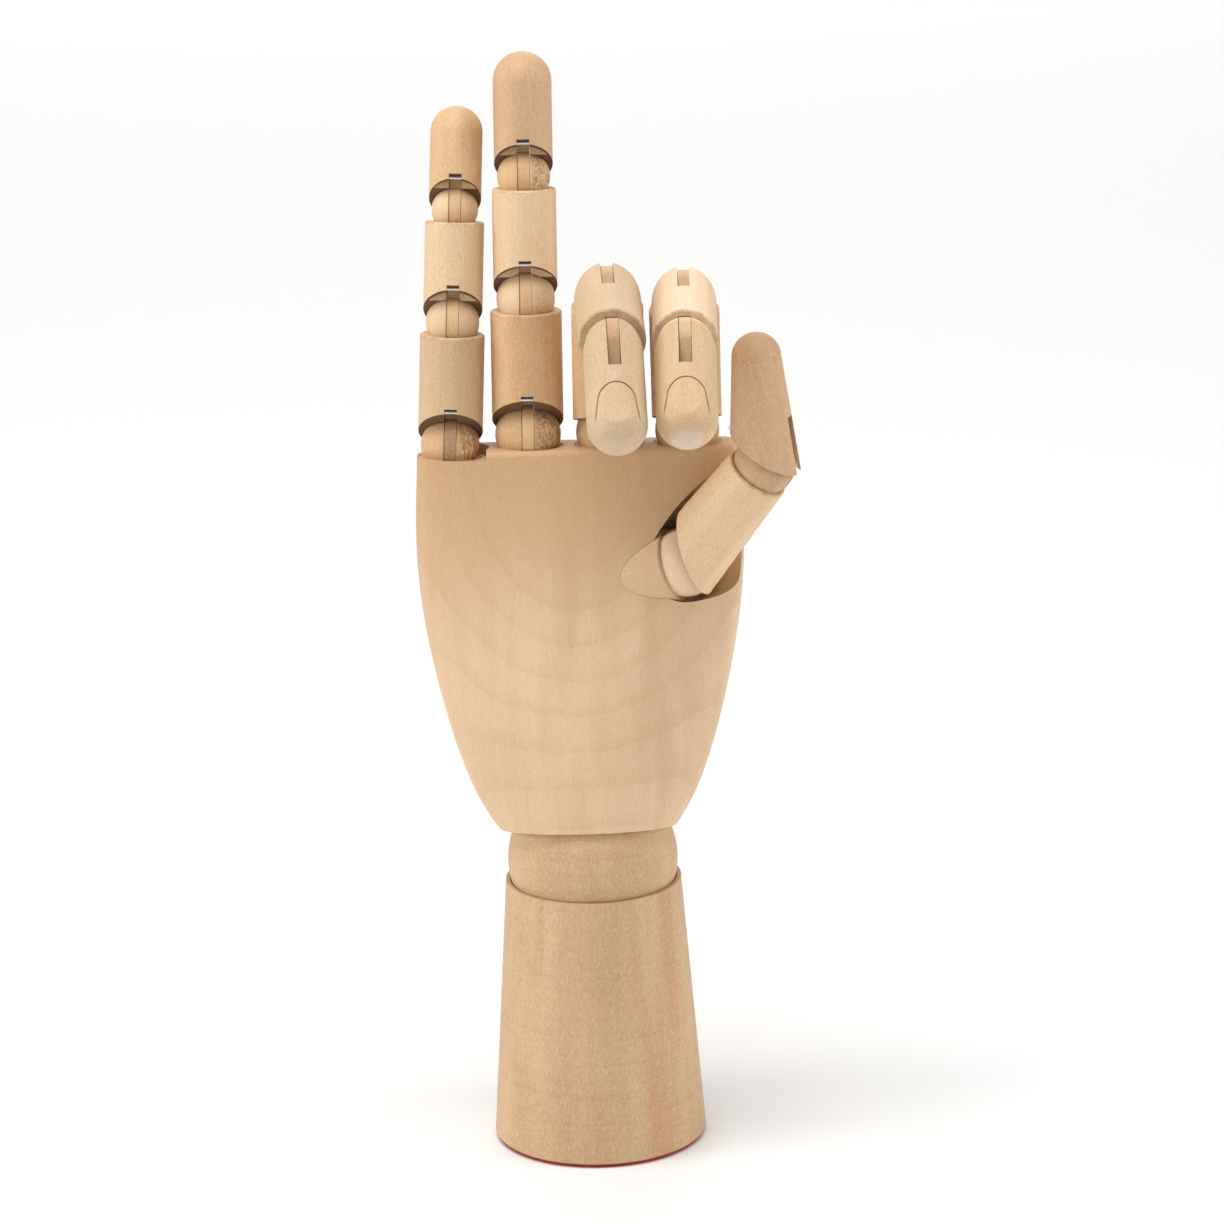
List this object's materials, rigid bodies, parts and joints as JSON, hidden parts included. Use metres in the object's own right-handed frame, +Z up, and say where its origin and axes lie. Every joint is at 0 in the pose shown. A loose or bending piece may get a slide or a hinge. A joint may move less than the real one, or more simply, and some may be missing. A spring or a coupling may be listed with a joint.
{
  "type": "jointed wooden hand mannequin",
  "caption": "Jointed wooden right hand on a tapered round stand, with ball wrist, tongue-and-socket knuckles and curled and straight fingers, for drawing practice.",
  "frame": {"origin": "middle of the stand's underside, on the surface that it rests on", "axes": "+Z up along the stand, -Y toward the viewer on the palm side, +X toward the thumb"},
  "size_m": [0.1036, 0.0967, 0.2992],
  "materials": {
    "wood_hand": "satin",
    "wood_turned": "satin",
    "wood_tongue": "satin",
    "steel": "brushed",
    "felt_red": "matte"
  },
  "bodies": {
    "stand": {"base_stand": "wood_turned", "felt_pad": "felt_red"},
    "anchor": {"eye_bolt": "steel", "eye_bolt_washer": "steel", "eye_bolt_nut": "steel", "wrist_spring": "steel"},
    "ball": {"wrist_ball": "wood_turned"},
    "palm": {"palm": "wood_hand", "spring_cross_pin": "steel", "palm_knuckle_pins": "steel", "plug_pinky": "steel", "plug_ring": "wood_hand", "plug_middle": "wood_hand", "plug_index": "wood_hand"},
    "pinky_proximal": {"pinky_proximal": "wood_hand", "pinky_proximal_tongue": "wood_tongue", "pinky_proximal_pins": "steel"},
    "pinky_middle": {"pinky_middle": "wood_hand", "pinky_middle_tongue": "wood_tongue", "pinky_middle_pins": "steel"},
    "pinky_distal": {"pinky_distal": "wood_hand", "pinky_distal_tongue": "wood_tongue", "pinky_distal_pins": "steel"},
    "ring_proximal": {"ring_proximal": "wood_hand", "ring_proximal_tongue": "wood_tongue", "ring_proximal_pins": "steel"},
    "ring_middle": {"ring_middle": "wood_hand", "ring_middle_tongue": "wood_tongue", "ring_middle_pins": "steel"},
    "ring_distal": {"ring_distal": "wood_hand", "ring_distal_tongue": "wood_tongue", "ring_distal_pins": "steel"},
    "middle_proximal": {"middle_proximal": "wood_hand", "middle_proximal_tongue": "wood_tongue", "middle_proximal_pins": "steel"},
    "middle_middle": {"middle_middle": "wood_hand", "middle_middle_tongue": "wood_tongue", "middle_middle_pins": "steel"},
    "middle_distal": {"middle_distal": "wood_hand", "middle_distal_tongue": "wood_tongue", "middle_distal_pins": "steel"},
    "index_proximal": {"index_proximal": "wood_hand", "index_proximal_tongue": "wood_tongue", "index_proximal_pins": "steel"},
    "index_middle": {"index_middle": "wood_hand", "index_middle_tongue": "wood_tongue", "index_middle_pins": "steel"},
    "index_distal": {"index_distal": "wood_hand", "index_distal_tongue": "wood_tongue", "index_distal_pins": "steel"},
    "thumb_plug": {"plug_thumb": "wood_hand", "plug_thumb_pin": "steel"},
    "thumb_proximal": {"thumb_proximal": "wood_hand", "thumb_proximal_tongue": "wood_tongue", "thumb_proximal_pins": "steel"},
    "thumb_distal": {"thumb_distal": "wood_hand", "thumb_distal_tongue": "wood_tongue", "thumb_distal_pin": "steel"}
  },
  "joints": [
    {"name": "wrist_turn", "type": "hinge", "parent": "stand", "child": "anchor", "pos_m": [0, 0, 0.03], "axis": [0, 0, 1], "continuous": true},
    {"name": "wrist_side_tilt", "type": "hinge", "parent": "anchor", "child": "ball", "pos_m": [0, 0, 0.08], "axis": [0, 1, 0], "range_deg": [-15, 15], "deforming": ["wrist_spring"]},
    {"name": "wrist_nod", "type": "hinge", "parent": "ball", "child": "palm", "pos_m": [0, 0, 0.08], "axis": [1, 0, 0], "range_deg": [-14, 24], "deforming": ["wrist_spring"]},
    {"name": "pinky_knuckle", "type": "hinge", "parent": "palm", "child": "pinky_proximal", "pos_m": [-0.03518, 0.01202, 0.19437], "axis": [0.9986, -0.0055, -0.052], "range_deg": [-7, 65]},
    {"name": "pinky_middle_joint", "type": "hinge", "parent": "pinky_proximal", "child": "pinky_middle", "pos_m": [-0.03343, 0.01493, 0.22769], "axis": [-0.9986, 0.0055, 0.052], "range_deg": [-90, 1.5]},
    {"name": "pinky_tip_joint", "type": "hinge", "parent": "pinky_middle", "child": "pinky_distal", "pos_m": [-0.03185, 0.02018, 0.2574], "axis": [-0.9986, 0.0055, 0.052], "range_deg": [-89, 2.5]},
    {"name": "ring_knuckle", "type": "hinge", "parent": "palm", "child": "ring_proximal", "pos_m": [-0.0141, 0.01226, 0.19666], "axis": [0.9999, -0.0015, -0.0139], "range_deg": [-8, 64]},
    {"name": "ring_middle_joint", "type": "hinge", "parent": "ring_proximal", "child": "ring_middle", "pos_m": [-0.01358, 0.01484, 0.23358], "axis": [-0.9999, 0.0015, 0.0139], "range_deg": [-88, 3.5]},
    {"name": "ring_tip_joint", "type": "hinge", "parent": "ring_middle", "child": "ring_distal", "pos_m": [-0.01312, 0.01885, 0.26623], "axis": [-0.9999, 0.0015, 0.0139], "range_deg": [-87, 4.5]},
    {"name": "middle_knuckle", "type": "hinge", "parent": "palm", "child": "middle_proximal", "pos_m": [0.00769, 0.01226, 0.19666], "axis": [0.9997, 0.026, -0.0027], "range_deg": [-29.5, 42.5]},
    {"name": "middle_middle_joint", "type": "hinge", "parent": "middle_proximal", "child": "middle_middle", "pos_m": [0.00813, -0.00051, 0.23719], "axis": [-0.9997, -0.026, 0.0027], "range_deg": [-5.5, 86]},
    {"name": "middle_tip_joint", "type": "hinge", "parent": "middle_middle", "child": "middle_distal", "pos_m": [0.00905, -0.03623, 0.2328], "axis": [-0.9997, -0.026, 0.0027], "range_deg": [-54, 37.5]},
    {"name": "index_knuckle", "type": "hinge", "parent": "palm", "child": "index_proximal", "pos_m": [0.02882, 0.01226, 0.19666], "axis": [0.9998, -0.0174, 0.0018], "range_deg": [-28.5, 43.5]},
    {"name": "index_middle_joint", "type": "hinge", "parent": "index_proximal", "child": "index_middle", "pos_m": [0.02855, 0.00076, 0.23549], "axis": [-0.9998, 0.0174, -0.0018], "range_deg": [-5, 86.5]},
    {"name": "index_tip_joint", "type": "hinge", "parent": "index_middle", "child": "index_distal", "pos_m": [0.02796, -0.03352, 0.23158], "axis": [-0.9998, 0.0174, -0.0018], "range_deg": [-56, 35.5]},
    {"name": "thumb_swivel", "type": "hinge", "parent": "palm", "child": "thumb_plug", "pos_m": [0.0273, 0.00018, 0.16304], "axis": [0.8924, -0.3406, 0.296], "range_deg": [-5, 90]},
    {"name": "thumb_knuckle", "type": "hinge", "parent": "thumb_plug", "child": "thumb_proximal", "pos_m": [0.0273, 0.00018, 0.16304], "axis": [0.3246, 0.9402, 0.1031], "range_deg": [0, 34]},
    {"name": "thumb_tip_joint", "type": "hinge", "parent": "thumb_proximal", "child": "thumb_distal", "pos_m": [0.04875, -0.01046, 0.19254], "axis": [-0.3246, -0.9402, -0.1031], "range_deg": [-46, 14]}
  ]
}
